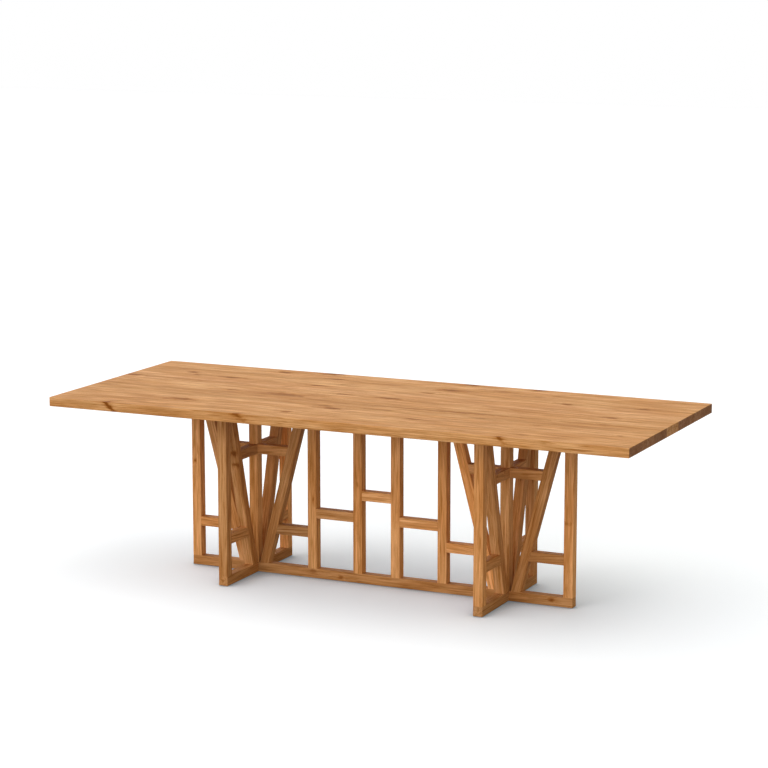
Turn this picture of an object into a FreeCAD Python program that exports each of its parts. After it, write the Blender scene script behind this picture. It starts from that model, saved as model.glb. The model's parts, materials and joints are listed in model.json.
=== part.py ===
import FreeCAD, Part
import Sketcher
import math
import os

# Dining table: a glued oak top on a base of square bars. One long frame stands on edge under the
# middle of the top, and two short frames cross it, so that the base has two cross-shaped pedestals.
# The frame: X along the table, Y from front to back, Z up, origin on the floor under its middle.

doc = FreeCAD.newDocument("DiningTable")

# Driving sizes in millimetres
SIZES = [
    ("table_length", "2500"),
    ("table_width", "1000"),
    ("table_height", "770"),
    ("top_thickness", "38"),
    ("top_edge_round", "2"),
    ("bar_section", "40"),
    ("bar_edge_round", "1.5"),
    ("pedestal_spacing", "1130"),
    ("pedestal_span", "584"),
    ("bay_upright_spacing", "170"),
    ("low_rung_height", "172"),
    ("side_bay_rung_height", "256"),
    ("middle_bay_rung_height", "350"),
    ("high_rung_drop", "147"),
    ("brace_foot_gap", "8"),
    ("brace_head_gap", "11"),
    ("rail_tenon_length", "25"),
    ("rung_tenon_length", "12"),
    ("tenon_width", "24"),
    ("tenon_thickness", "12"),
    ("joint_clearance", "0.2"),
    ("end_gap", "0.8"),
    ("screw_diameter", "5"),
    ("screw_bite", "20"),
    ("screw_point_length", "4"),
    ("screw_head_diameter", "10"),
    ("screw_head_height", "3.4"),
    ("driver_socket_width", "4"),
    ("driver_socket_depth", "2"),
    ("screw_hole_diameter", "6"),
    ("screw_slot_travel", "6"),
    ("pilot_clearance", "0.1"),
    ("washer_diameter", "16"),
    ("washer_thickness", "2"),
    ("counterbore_diameter", "18"),
    ("counterbore_depth", "12"),
    ("glide_diameter", "26"),
    ("glide_thickness", "2"),
]
BOARD_COUNT = 7
DRIVER_SOCKET_SIDES = 6

sheet = doc.addObject("Spreadsheet::Sheet", "Sizes")
for row, (alias, number) in enumerate(SIZES, start=1):
    sheet.set(f"A{row}", alias)
    sheet.set(f"B{row}", number)
    sheet.setAlias(f"B{row}", alias)
doc.recompute()

# Heights above the floor, as formulas of the sheet
BAR = "Sizes.bar_section"
HALF_BAR = f"({BAR} / 2)"
RAIL_FOOT = "Sizes.glide_thickness"
RAIL_TOP = f"({RAIL_FOOT} + {BAR})"
TOP_UNDERSIDE = "(Sizes.table_height - Sizes.top_thickness)"
TOP_RAIL_FOOT = f"({TOP_UNDERSIDE} - {BAR})"
UPRIGHT_HEIGHT = f"({TOP_RAIL_FOOT} - {RAIL_TOP})"
LOW_RUNG = "Sizes.low_rung_height"
HIGH_RUNG = f"({TOP_RAIL_FOOT} - Sizes.high_rung_drop - {BAR})"
SIDE_BAY_RUNG = "Sizes.side_bay_rung_height"
MIDDLE_BAY_RUNG = "Sizes.middle_bay_rung_height"

# Places along the table, and along each arm from the middle of its pedestal
PEDESTAL = "(Sizes.pedestal_spacing / 2)"
HALF_SPAN = "(Sizes.pedestal_span / 2)"
HALF_BASE = f"({PEDESTAL} + {HALF_SPAN})"
ARM_UPRIGHT = f"({HALF_SPAN} - {HALF_BAR})"
BAY_UPRIGHT = "(Sizes.bay_upright_spacing / 2)"
INNER_UPRIGHT = f"({PEDESTAL} - {ARM_UPRIGHT})"

# A brace leans outwards: its centre line runs from BRACE_FOOT on the bottom rail to BRACE_HEAD
# under the top rail, both measured from the middle of the centre post.
BRACE_FOOT = f"({BAR} + Sizes.brace_foot_gap)"
BRACE_HEAD = f"({HALF_SPAN} - {BAR} - {HALF_BAR} - Sizes.brace_head_gap)"
BRACE_SLOPE = f"(({BRACE_HEAD} - {BRACE_FOOT}) / {UPRIGHT_HEIGHT})"
BRACE_HALF = f"({HALF_BAR} * sqrt(1 + {BRACE_SLOPE} * {BRACE_SLOPE}))"

# A mortise is larger than its tenon by the joint clearance on each side and the end gap in depth
HALF_TENON = "(Sizes.tenon_width / 2)"
HALF_TENON_THICK = "(Sizes.tenon_thickness / 2)"
HALF_MORTISE = f"({HALF_TENON} + Sizes.joint_clearance)"
HALF_MORTISE_THICK = f"({HALF_TENON_THICK} + Sizes.joint_clearance)"
RAIL_MORTISE_DEPTH = "(Sizes.rail_tenon_length + Sizes.end_gap)"
RUNG_MORTISE_DEPTH = "(Sizes.rung_tenon_length + Sizes.end_gap)"
HALF_LAP = f"({HALF_BAR} + Sizes.joint_clearance)"

# Screws from below: one in each arm, midway to the brace's head, and one in the middle of each bay
ARM_SCREW = f"({BRACE_HEAD} / 2)"
BAY_SCREW = f"(({INNER_UPRIGHT} + {BAY_UPRIGHT}) / 2)"
SCREW_SEAT = f"({TOP_RAIL_FOOT} + Sizes.counterbore_depth)"
SCREW_SHOULDER = f"({SCREW_SEAT} - Sizes.washer_thickness)"
SCREW_HEAD_FOOT = f"({SCREW_SHOULDER} - Sizes.screw_head_height)"
SCREW_TIP = f"({TOP_UNDERSIDE} + Sizes.screw_bite)"
SCREW_RADIUS = "(Sizes.screw_diameter / 2)"
SCREW_HOLE_RADIUS = "(Sizes.screw_hole_diameter / 2)"
PILOT_RADIUS = f"({SCREW_RADIUS} + Sizes.pilot_clearance)"
COUNTERBORE_RADIUS = "(Sizes.counterbore_diameter / 2)"
HALF_TRAVEL = "(Sizes.screw_slot_travel / 2)"

X_WAY = FreeCAD.Vector(1, 0, 0)
Y_WAY = FreeCAD.Vector(0, 1, 0)
Z_WAY = FreeCAD.Vector(0, 0, 1)

sub_parts = []


def value_of(formula):
    """The number that a formula of the sheet gives."""
    return float(sheet.evalExpression(formula))


def brace_at(height):
    """How far a brace's centre line stands from the post's middle, at a height above the floor."""
    return f"({BRACE_FOOT} + {BRACE_SLOPE} * ({height} - {RAIL_TOP}))"


# Bodies and sketches

def new_body(label):
    """An empty body for one piece of wood."""
    body = doc.addObject("PartDesign::Body", label)
    body.Label = label
    sub_parts.append(body)
    return body


def place(body, x="0", quarter_turns=0):
    """Turns a piece about the vertical by quarter turns and puts it at a place along the table."""
    turn = FreeCAD.Rotation(Z_WAY, 90 * quarter_turns)
    body.Placement = FreeCAD.Placement(FreeCAD.Vector(0, 0, 0), turn)
    body.setExpression("Placement.Base.x", x)


def new_sketch(body, role, offset="0"):
    """A sketch on one of the body's own origin planes, moved along its normal by a formula."""
    plane = next(item for item in body.Origin.OriginFeatures if item.Role == role)
    sketch = body.newObject("Sketcher::SketchObject", "Sketch")
    sketch.AttachmentSupport = (plane, [""])
    sketch.MapMode = "FlatFace"
    sketch.setExpression("AttachmentOffset.Base.z", offset)
    return sketch


def tie(sketch, way, element, end, formula):
    """Binds one coordinate of a sketched point to a formula, measured from the sketch's origin."""
    value = value_of(formula)
    if value == 0:
        axis = -2 if way == "DistanceX" else -1
        sketch.addConstraint(Sketcher.Constraint("PointOnObject", element, end, axis))
    elif value > 0:
        number = sketch.addConstraint(Sketcher.Constraint(way, -1, 1, element, end, value))
        sketch.setExpression(f"Constraints[{number}]", formula)
    else:
        number = sketch.addConstraint(Sketcher.Constraint(way, element, end, -1, 1, -value))
        sketch.setExpression(f"Constraints[{number}]", f"-({formula})")


def draw_outline(sketch, corners):
    """A closed outline of straight edges whose corners follow pairs of formulas."""
    points = [FreeCAD.Vector(value_of(x), value_of(y), 0) for x, y in corners]
    first = sketch.GeometryCount
    count = len(points)
    for step in range(count):
        sketch.addGeometry(Part.LineSegment(points[step], points[(step + 1) % count]), False)
    for step, (x, y) in enumerate(corners):
        after = first + (step + 1) % count
        sketch.addConstraint(Sketcher.Constraint("Coincident", first + step, 2, after, 1))
        tie(sketch, "DistanceX", first + step, 1, x)
        tie(sketch, "DistanceY", first + step, 1, y)


def draw_rectangle(sketch, x, y, half_x, half_y):
    """A rectangle about a centre, its place and sizes as formulas."""
    low_x, high_x = f"{x} - {half_x}", f"{x} + {half_x}"
    low_y, high_y = f"{y} - {half_y}", f"{y} + {half_y}"
    draw_outline(sketch, [(low_x, low_y), (high_x, low_y), (high_x, high_y), (low_x, high_y)])


def draw_circle(sketch, x, y, radius):
    """A circle whose centre and radius follow formulas."""
    centre = FreeCAD.Vector(value_of(x), value_of(y), 0)
    number = sketch.addGeometry(Part.Circle(centre, Z_WAY, value_of(radius)), False)
    tie(sketch, "DistanceX", number, 3, x)
    tie(sketch, "DistanceY", number, 3, y)
    size = sketch.addConstraint(Sketcher.Constraint("Radius", number, value_of(radius)))
    sketch.setExpression(f"Constraints[{size}]", radius)


def draw_slot(sketch, x, half_travel, radius):
    """A slot along the rail: two straight sides with a half circle at each end."""
    right = FreeCAD.Vector(value_of(f"{x} + {half_travel}"), 0, 0)
    left = FreeCAD.Vector(value_of(f"{x} - {half_travel}"), 0, 0)
    size = value_of(radius)
    side = FreeCAD.Vector(0, size, 0)
    quarter = math.pi / 2
    right_end = Part.ArcOfCircle(Part.Circle(right, Z_WAY, size), -quarter, quarter)
    left_end = Part.ArcOfCircle(Part.Circle(left, Z_WAY, size), quarter, 3 * quarter)
    first = sketch.GeometryCount
    for line in (right_end, Part.LineSegment(right + side, left + side),
                 left_end, Part.LineSegment(left - side, right - side)):
        sketch.addGeometry(line, False)
    for step in range(4):
        after = first + (step + 1) % 4
        sketch.addConstraint(Sketcher.Constraint("Tangent", first + step, 2, after, 1))
    tie(sketch, "DistanceX", first, 3, f"{x} + {half_travel}")
    tie(sketch, "DistanceX", first + 2, 3, f"{x} - {half_travel}")
    tie(sketch, "DistanceY", first, 3, "0")
    number = sketch.addConstraint(Sketcher.Constraint("Radius", first, size))
    sketch.setExpression(f"Constraints[{number}]", radius)


# Features, each of which has to change the piece

def add_feature(body, kind, sketch, length, reverse, symmetric):
    """A pad or a pocket from a sketch, as long as a formula says."""
    doc.recompute()
    feature = body.newObject(f"PartDesign::{kind}", kind)
    feature.Profile = sketch
    feature.Reversed = reverse
    feature.SideType = "Symmetric" if symmetric else "One side"
    feature.setExpression("Length", length)
    sketch.Visibility = False
    doc.recompute()
    return feature


def add_pad(body, sketch, length, reverse=False, symmetric=False):
    """Solid from a sketch. It has to add material."""
    before = body.Shape.Volume if body.Tip else 0
    pad = add_feature(body, "Pad", sketch, length, reverse, symmetric)
    if body.Shape.Volume <= before:
        raise ValueError(f"{body.Label}: a pad added nothing")
    return pad


def cut_pocket(body, sketch, depth, reverse=False, symmetric=False):
    """Pocket from a sketch. It has to take material away."""
    before = body.Shape.Volume
    add_feature(body, "Pocket", sketch, depth, reverse, symmetric)
    if body.Shape.Volume >= before:
        raise ValueError(f"{body.Label}: a pocket cut nothing")


def edge_way(edge):
    """The direction of a straight edge."""
    start, end = (vertex.Point for vertex in edge.Vertexes)
    return (end - start).normalize()


def runs_along(direction):
    """A test for edges that run along a direction."""
    way = FreeCAD.Vector(direction).normalize()
    return lambda edge: abs(edge_way(edge).dot(way)) > 1 - 1e-9


def round_edges(body, feature, wanted, radius):
    """Rounds the edges of a feature that pass a test."""
    names = [f"Edge{n}" for n, edge in enumerate(feature.Shape.Edges, start=1) if wanted(edge)]
    fillet = body.newObject("PartDesign::Fillet", "Fillet")
    fillet.Base = (feature, names)
    fillet.setExpression("Radius", radius)
    doc.recompute()


# Uprights, posts and braces

def add_end_tenons(body, foot_x, head_x):
    """A tenon on the foot and one on the head of a standing bar."""
    for x, height, downwards in ((foot_x, RAIL_TOP, True), (head_x, TOP_RAIL_FOOT, False)):
        sketch = new_sketch(body, "XY_Plane", height)
        draw_rectangle(sketch, x, "0", HALF_TENON, HALF_TENON_THICK)
        add_pad(body, sketch, "Sizes.rail_tenon_length", reverse=downwards)


def make_upright(label, x, mortises):
    """An upright whose middle is at x. Each mortise is a side, -1 or 1, and its rung's height."""
    body = new_body(label)
    sketch = new_sketch(body, "XY_Plane", RAIL_TOP)
    draw_rectangle(sketch, x, "0", HALF_BAR, HALF_BAR)
    pad = add_pad(body, sketch, UPRIGHT_HEIGHT)
    round_edges(body, pad, runs_along(Z_WAY), "Sizes.bar_edge_round")
    add_end_tenons(body, x, x)
    for side, height in mortises:
        sketch = new_sketch(body, "YZ_Plane", f"{x} + {side} * {HALF_BAR}")
        draw_rectangle(sketch, "0", f"{height} + {HALF_BAR}", HALF_MORTISE_THICK, HALF_MORTISE)
        cut_pocket(body, sketch, RUNG_MORTISE_DEPTH, reverse=side < 0)
    return body


def make_centre_post(label):
    """The post where the frames cross, with a mortise for a high rung in each face."""
    body = make_upright(label, "0", [(-1, HIGH_RUNG), (1, HIGH_RUNG)])
    for side in (-1, 1):
        sketch = new_sketch(body, "XZ_Plane", f"{side} * {HALF_BAR}")
        draw_rectangle(sketch, "0", f"{HIGH_RUNG} + {HALF_BAR}", HALF_MORTISE_THICK, HALF_MORTISE)
        cut_pocket(body, sketch, RUNG_MORTISE_DEPTH, reverse=side < 0)
    return body


def cut_brace_mortise(body, rung_height, side):
    """A mortise for a rung in a brace's inner face, side -1, or its outer face, side 1."""
    low = f"({rung_height} + {HALF_BAR} - {HALF_MORTISE})"
    high = f"({rung_height} + {HALF_BAR} + {HALF_MORTISE})"
    mouth = f"{side} * ({BRACE_HALF} + Sizes.joint_clearance)"
    floor = f"{side} * ({BRACE_HALF} - {RUNG_MORTISE_DEPTH})"
    sketch = new_sketch(body, "XZ_Plane")
    draw_outline(sketch, [
        (f"{brace_at(low)} + {mouth}", low),
        (f"{brace_at(high)} + {mouth}", high),
        (f"{brace_at(high)} + {floor}", high),
        (f"{brace_at(low)} + {floor}", low),
    ])
    cut_pocket(body, sketch, f"2 * {HALF_MORTISE_THICK}", symmetric=True)


def make_brace(label):
    """A leaning brace of one arm. Its shoulders are cut level, to sit on the rails."""
    body = new_body(label)
    sketch = new_sketch(body, "XZ_Plane")
    draw_outline(sketch, [
        (f"{BRACE_FOOT} - {BRACE_HALF}", RAIL_TOP),
        (f"{BRACE_FOOT} + {BRACE_HALF}", RAIL_TOP),
        (f"{BRACE_HEAD} + {BRACE_HALF}", TOP_RAIL_FOOT),
        (f"{BRACE_HEAD} - {BRACE_HALF}", TOP_RAIL_FOOT),
    ])
    pad = add_pad(body, sketch, BAR, symmetric=True)
    lean = FreeCAD.Vector(value_of(BRACE_SLOPE), 0, 1)
    round_edges(body, pad, runs_along(lean), "Sizes.bar_edge_round")
    add_end_tenons(body, BRACE_FOOT, BRACE_HEAD)
    cut_brace_mortise(body, HIGH_RUNG, -1)
    cut_brace_mortise(body, LOW_RUNG, 1)
    return body


# Rungs. A shoulder gives its place for each height, so that it can follow a leaning brace.

def upright_shoulder(x):
    """A shoulder that stands upright at one place."""
    return lambda height: x


def brace_shoulder(side):
    """A shoulder against a brace's inner face, side -1, or its outer face, side 1."""
    return lambda height: f"{brace_at(height)} + {side} * {BRACE_HALF}"


def make_rung(label, height, left, right):
    """A level rung between two shoulders, with a stub tenon at each end."""
    body = new_body(label)
    head = f"({height} + {BAR})"
    sketch = new_sketch(body, "XZ_Plane")
    draw_outline(sketch, [
        (left(height), height), (right(height), height), (right(head), head), (left(head), head)])
    pad = add_pad(body, sketch, BAR, symmetric=True)
    round_edges(body, pad, runs_along(X_WAY), "Sizes.bar_edge_round")
    low = f"({height} + {HALF_BAR} - {HALF_TENON})"
    high = f"({height} + {HALF_BAR} + {HALF_TENON})"
    for shoulder, way in ((left, -1), (right, 1)):
        reach = f"{way} * Sizes.rung_tenon_length"
        sketch = new_sketch(body, "XZ_Plane")
        draw_outline(sketch, [
            (shoulder(low), low),
            (f"{shoulder(low)} + {reach}", low),
            (f"{shoulder(high)} + {reach}", high),
            (shoulder(high), high),
        ])
        add_pad(body, sketch, "Sizes.tenon_thickness", symmetric=True)
    return body


# Rails

def make_rail(label, half_length, foot):
    """A square rail about its own middle, with every edge eased."""
    body = new_body(label)
    sketch = new_sketch(body, "XY_Plane", foot)
    draw_rectangle(sketch, "0", "0", half_length, HALF_BAR)
    pad = add_pad(body, sketch, BAR)
    round_edges(body, pad, lambda edge: True, "Sizes.bar_edge_round")
    return body


def cut_laps(body, places, foot, from_top):
    """Half laps where another rail crosses, cut from the rail's top or from its underside."""
    sketch = new_sketch(body, "XY_Plane", f"{foot} + {BAR}" if from_top else foot)
    for x in places:
        draw_rectangle(sketch, x, "0", HALF_LAP, BAR)
    cut_pocket(body, sketch, HALF_BAR, reverse=not from_top)


def cut_rail_mortises(body, places, face, from_top, post_places, post_turned):
    """Mortises for the braces and uprights at places, and for the centre posts at post_places.
    A post's tenon lies along the long frame, so that it is turned in a cross rail."""
    sketch = new_sketch(body, "XY_Plane", face)
    for x in places:
        draw_rectangle(sketch, x, "0", HALF_MORTISE, HALF_MORTISE_THICK)
    for x in post_places:
        if post_turned:
            draw_rectangle(sketch, x, "0", HALF_MORTISE_THICK, HALF_MORTISE)
        else:
            draw_rectangle(sketch, x, "0", HALF_MORTISE, HALF_MORTISE_THICK)
    cut_pocket(body, sketch, RAIL_MORTISE_DEPTH, reverse=not from_top)


def cut_screw_holes(body, places, slotted):
    """Holes up through a top rail, each with a counterbore. A cross rail's are slots, because the
    top swells and shrinks across its boards."""
    for radius, depth in ((COUNTERBORE_RADIUS, "Sizes.counterbore_depth"), (SCREW_HOLE_RADIUS, BAR)):
        sketch = new_sketch(body, "XY_Plane", TOP_RAIL_FOOT)
        for x in places:
            if slotted:
                draw_slot(sketch, x, HALF_TRAVEL, radius)
            else:
                draw_circle(sketch, x, "0", radius)
        cut_pocket(body, sketch, depth, reverse=True)


def both_ways(places):
    """Each place and its mirror image."""
    return [f"{sign} * {place}" for place in places for sign in (-1, 1)]


def about_pedestals(places):
    """Each place on both sides of each pedestal's middle, along the table."""
    return [f"{side} * {PEDESTAL} + {offset}" for side in (-1, 1) for offset in both_ways(places)]


PEDESTALS = both_ways([PEDESTAL])

spine_bottom_rail = make_rail("spine_bottom_rail", HALF_BASE, RAIL_FOOT)
cut_laps(spine_bottom_rail, PEDESTALS, RAIL_FOOT, from_top=True)
cut_rail_mortises(
    spine_bottom_rail, about_pedestals([BRACE_FOOT, ARM_UPRIGHT]) + both_ways([BAY_UPRIGHT]),
    RAIL_TOP, from_top=True, post_places=PEDESTALS, post_turned=False)
place(spine_bottom_rail)

spine_top_rail = make_rail("spine_top_rail", HALF_BASE, TOP_RAIL_FOOT)
cut_laps(spine_top_rail, PEDESTALS, TOP_RAIL_FOOT, from_top=True)
cut_rail_mortises(
    spine_top_rail, about_pedestals([BRACE_HEAD, ARM_UPRIGHT]) + both_ways([BAY_UPRIGHT]),
    TOP_RAIL_FOOT, from_top=False, post_places=PEDESTALS, post_turned=False)
cut_screw_holes(
    spine_top_rail, about_pedestals([ARM_SCREW]) + both_ways([BAY_SCREW]) + ["0"], slotted=False)
place(spine_top_rail)

for side, sign in (("left", -1), ("right", 1)):
    pedestal = f"{sign} * {PEDESTAL}"

    cross_bottom_rail = make_rail(f"{side}_cross_bottom_rail", HALF_SPAN, RAIL_FOOT)
    cut_laps(cross_bottom_rail, ["0"], RAIL_FOOT, from_top=False)
    cut_rail_mortises(
        cross_bottom_rail, both_ways([BRACE_FOOT, ARM_UPRIGHT]),
        RAIL_TOP, from_top=True, post_places=["0"], post_turned=True)
    place(cross_bottom_rail, pedestal, quarter_turns=1)

    cross_top_rail = make_rail(f"{side}_cross_top_rail", HALF_SPAN, TOP_RAIL_FOOT)
    cut_laps(cross_top_rail, ["0"], TOP_RAIL_FOOT, from_top=False)
    cut_rail_mortises(
        cross_top_rail, both_ways([BRACE_HEAD, ARM_UPRIGHT]),
        TOP_RAIL_FOOT, from_top=False, post_places=["0"], post_turned=True)
    cut_screw_holes(cross_top_rail, both_ways([ARM_SCREW]), slotted=True)
    place(cross_top_rail, pedestal, quarter_turns=1)

    place(make_centre_post(f"{side}_centre_post"), pedestal)

    # The inner arm points to the table's middle, so its upright also carries a bay rung
    outwards = 0 if sign > 0 else 2
    arms = (("outer", outwards), ("inner", outwards + 2), ("front", 3), ("back", 1))
    for arm, quarter_turns in arms:
        mortises = [(-1, LOW_RUNG)]
        if arm == "inner":
            mortises.append((1, SIDE_BAY_RUNG))
        upright = make_upright(f"{side}_{arm}_upright", ARM_UPRIGHT, mortises)
        brace = make_brace(f"{side}_{arm}_brace")
        high_rung = make_rung(
            f"{side}_{arm}_high_rung", HIGH_RUNG, upright_shoulder(HALF_BAR), brace_shoulder(-1))
        low_rung = make_rung(
            f"{side}_{arm}_low_rung", LOW_RUNG, brace_shoulder(1),
            upright_shoulder(f"({HALF_SPAN} - {BAR})"))
        for piece in (upright, brace, high_rung, low_rung):
            place(piece, pedestal, quarter_turns)

# The middle of the long frame: two uprights and three rungs
place(make_upright(
    "left_bay_upright", f"-{BAY_UPRIGHT}", [(-1, SIDE_BAY_RUNG), (1, MIDDLE_BAY_RUNG)]))
place(make_upright(
    "right_bay_upright", BAY_UPRIGHT, [(-1, MIDDLE_BAY_RUNG), (1, SIDE_BAY_RUNG)]))

INNER_FACE = f"({INNER_UPRIGHT} - {HALF_BAR})"
BAY_NEAR_FACE = f"({BAY_UPRIGHT} - {HALF_BAR})"
BAY_FAR_FACE = f"({BAY_UPRIGHT} + {HALF_BAR})"
for label, height, left_x, right_x in (
    ("left_bay_rung", SIDE_BAY_RUNG, f"-{INNER_FACE}", f"-{BAY_FAR_FACE}"),
    ("middle_bay_rung", MIDDLE_BAY_RUNG, f"-{BAY_NEAR_FACE}", BAY_NEAR_FACE),
    ("right_bay_rung", SIDE_BAY_RUNG, BAY_FAR_FACE, INNER_FACE),
):
    place(make_rung(label, height, upright_shoulder(left_x), upright_shoulder(right_x)))


# The screws' places, as pairs of formulas along and across the table
screw_places = [(x, "0") for x in about_pedestals([ARM_SCREW]) + both_ways([BAY_SCREW]) + ["0"]]
screw_places += [(x, y) for x in PEDESTALS for y in both_ways([ARM_SCREW])]


# The top: boards edge to edge, eased only round the rim of the whole top

def make_board(number):
    """One board of the top, with a pilot hole for each screw that enters it."""
    body = new_body(f"top_board_{number}")
    low = f"(Sizes.table_width * ({number - 1} / {BOARD_COUNT} - 1 / 2))"
    high = f"(Sizes.table_width * ({number} / {BOARD_COUNT} - 1 / 2))"
    half_length = "(Sizes.table_length / 2)"
    sketch = new_sketch(body, "XY_Plane", TOP_UNDERSIDE)
    draw_outline(sketch, [
        (f"-{half_length}", low), (half_length, low), (half_length, high), (f"-{half_length}", high)])
    pad = add_pad(body, sketch, "Sizes.top_thickness")

    rim = value_of("Sizes.table_width / 2")

    def on_rim(edge):
        """True for the top's own edges, and not for the joints between boards."""
        at_side = all(abs(abs(vertex.Y) - rim) < 1e-6 for vertex in edge.Vertexes)
        return at_side or runs_along(Y_WAY)(edge)

    round_edges(body, pad, on_rim, "Sizes.top_edge_round")
    reach = value_of(PILOT_RADIUS)
    pilots = [(x, y) for x, y in screw_places
              if value_of(low) - reach < value_of(y) < value_of(high) + reach]
    if pilots:
        sketch = new_sketch(body, "XY_Plane", TOP_UNDERSIDE)
        for x, y in pilots:
            draw_circle(sketch, x, y, PILOT_RADIUS)
        cut_pocket(body, sketch, "Sizes.screw_bite + Sizes.end_gap", reverse=True)
    place(body)


for number in range(1, BOARD_COUNT + 1):
    make_board(number)


# Small parts, each kind a group of separate solids

def solid(kind, x, y, foot, **sizes):
    """A simple round or faceted solid that stands on a level, with formulas for its sizes."""
    item = doc.addObject(f"Part::{kind}", kind)
    for name, formula in sizes.items():
        item.setExpression(name, formula)
    item.setExpression("Placement.Base.x", x)
    item.setExpression("Placement.Base.y", y)
    item.setExpression("Placement.Base.z", foot)
    return item


def combine(kind, label, **links):
    """A boolean of other solids."""
    item = doc.addObject(f"Part::{kind}", label)
    for name, target in links.items():
        setattr(item, name, target)
    return item


def make_group(label, items):
    """A group of separate solids that share one name."""
    group = combine("Compound", label, Links=items)
    group.Label = label
    sub_parts.append(group)


def make_screw(x, y):
    """A round-headed screw with a pointed shank and a hexagon socket in its head."""
    point_foot = f"{SCREW_TIP} - Sizes.screw_point_length"
    head = solid("Cylinder", x, y, SCREW_HEAD_FOOT,
                 Radius="Sizes.screw_head_diameter / 2", Height="Sizes.screw_head_height")
    shank = solid("Cylinder", x, y, SCREW_SHOULDER,
                  Radius=SCREW_RADIUS, Height=f"{point_foot} - {SCREW_SHOULDER}")
    point = solid("Cone", x, y, point_foot,
                  Radius1=SCREW_RADIUS, Radius2="0", Height="Sizes.screw_point_length")
    socket = solid("Prism", x, y, SCREW_HEAD_FOOT,
                   Circumradius="Sizes.driver_socket_width / sqrt(3)", Height="Sizes.driver_socket_depth")
    socket.Polygon = DRIVER_SOCKET_SIDES
    whole = combine("MultiFuse", "ScrewBlank", Shapes=[head, shank, point])
    return combine("Cut", "Screw", Base=whole, Tool=socket)


def make_washer(x, y):
    """A flat washer between a screw's head and the floor of its counterbore."""
    disc = solid("Cylinder", x, y, SCREW_SHOULDER,
                 Radius="Sizes.washer_diameter / 2", Height="Sizes.washer_thickness")
    hole = solid("Cylinder", x, y, SCREW_SHOULDER, Radius=PILOT_RADIUS, Height="Sizes.washer_thickness")
    return combine("Cut", "Washer", Base=disc, Tool=hole)


def make_glide(x, y):
    """A round felt pad between a rail and the floor."""
    return solid("Cylinder", x, y, "0", Radius="Sizes.glide_diameter / 2", Height="Sizes.glide_thickness")


make_group("top_screws", [make_screw(x, y) for x, y in screw_places])
make_group("top_screw_washers", [make_washer(x, y) for x, y in screw_places])

glide_places = [(x, "0") for x in both_ways([f"({HALF_BASE} - {HALF_BAR})", BAY_UPRIGHT])]
glide_places += [(x, y) for x in PEDESTALS for y in both_ways([ARM_UPRIGHT])]
make_group("felt_glides", [make_glide(x, y) for x, y in glide_places])

doc.recompute()

for item in doc.Objects:
    if "Invalid" in item.State or "Error" in item.State:
        raise ValueError(f"{item.Label} did not compute: {item.State}")
for part in sub_parts:
    if part.Shape.isNull() or not part.Shape.isValid():
        raise ValueError(f"{part.Label} has no valid shape")

os.makedirs("parts", exist_ok=True)
for part in sub_parts:
    part.Shape.exportStep(f"parts/{part.Label}.step")
    print(part.Label, len(part.Shape.Solids), round(part.Shape.Volume))
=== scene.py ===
# %% [markdown]
# # An oak dining table on crossed frame pedestals
# The table has a thick oak top on a base of square bars. Every piece of wood, each screw and each felt
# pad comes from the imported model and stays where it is. What is made here is the finish: grown oak with
# its rings, pores and knots, zinc-plated steel and pressed felt. Then comes the studio that shows them.
# All lengths are in metres.

import json
import math
import random

import bpy
from mathutils import Matrix, Vector


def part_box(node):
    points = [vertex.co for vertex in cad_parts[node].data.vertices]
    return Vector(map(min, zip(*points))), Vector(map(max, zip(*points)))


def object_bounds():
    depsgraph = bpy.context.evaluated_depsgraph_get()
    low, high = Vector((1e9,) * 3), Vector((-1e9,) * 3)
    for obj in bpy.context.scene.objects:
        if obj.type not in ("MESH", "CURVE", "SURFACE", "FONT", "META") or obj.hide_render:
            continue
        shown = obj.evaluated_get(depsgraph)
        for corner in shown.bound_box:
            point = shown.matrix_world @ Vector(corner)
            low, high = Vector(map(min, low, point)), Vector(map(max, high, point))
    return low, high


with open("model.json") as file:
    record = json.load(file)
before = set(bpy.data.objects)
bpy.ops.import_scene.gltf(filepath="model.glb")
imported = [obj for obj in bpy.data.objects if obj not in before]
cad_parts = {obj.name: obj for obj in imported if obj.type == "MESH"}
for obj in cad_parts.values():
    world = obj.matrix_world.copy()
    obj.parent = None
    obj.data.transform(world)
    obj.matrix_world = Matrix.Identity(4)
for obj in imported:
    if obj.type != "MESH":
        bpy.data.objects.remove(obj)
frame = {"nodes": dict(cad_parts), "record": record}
pieces = frame["nodes"]
cad_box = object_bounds()
table_low, table_high = cad_box
TABLE_LENGTH, TABLE_WIDTH, TABLE_HEIGHT = table_high - table_low
print(f"{len(pieces)} pieces in a box of {TABLE_LENGTH:.3f} by {TABLE_WIDTH:.3f} by {TABLE_HEIGHT:.3f} m")

# %% [markdown]
# ## Small helpers for nodes
# A material is a graph of nodes. It could be joined up by hand in the shader editor, but a long graph is
# easier to read and to repeat as short formulas. So each helper adds one node, joins what it is given to
# the node's inputs and hands back the output. A grain pattern can then be written as one line after
# another, in the order in which the wood itself is built up.

# %% Helpers that add nodes


def add_node(tree, kind, inputs=None, **settings):
    """Adds a node. A value in inputs is a number, a colour or another node's output."""
    node = tree.nodes.new(kind)
    # The settings come first, because a group's inputs exist only once it knows which group it is.
    for name, value in settings.items():
        setattr(node, name, value)
    for name, value in (inputs or {}).items():
        if isinstance(value, bpy.types.NodeSocket):
            tree.links.new(value, node.inputs[name])
        else:
            node.inputs[name].default_value = value
    return node


def new_group(name, inputs, outputs):
    """An empty node group. inputs and outputs give each socket's name and kind."""
    group = bpy.data.node_groups.new(name, "ShaderNodeTree")
    for socket, kind in inputs.items():
        group.interface.new_socket(socket, in_out="INPUT", socket_type="NodeSocket" + kind)
    for socket, kind in outputs.items():
        group.interface.new_socket(socket, in_out="OUTPUT", socket_type="NodeSocket" + kind)
    return group, group.nodes.new("NodeGroupInput").outputs


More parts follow.
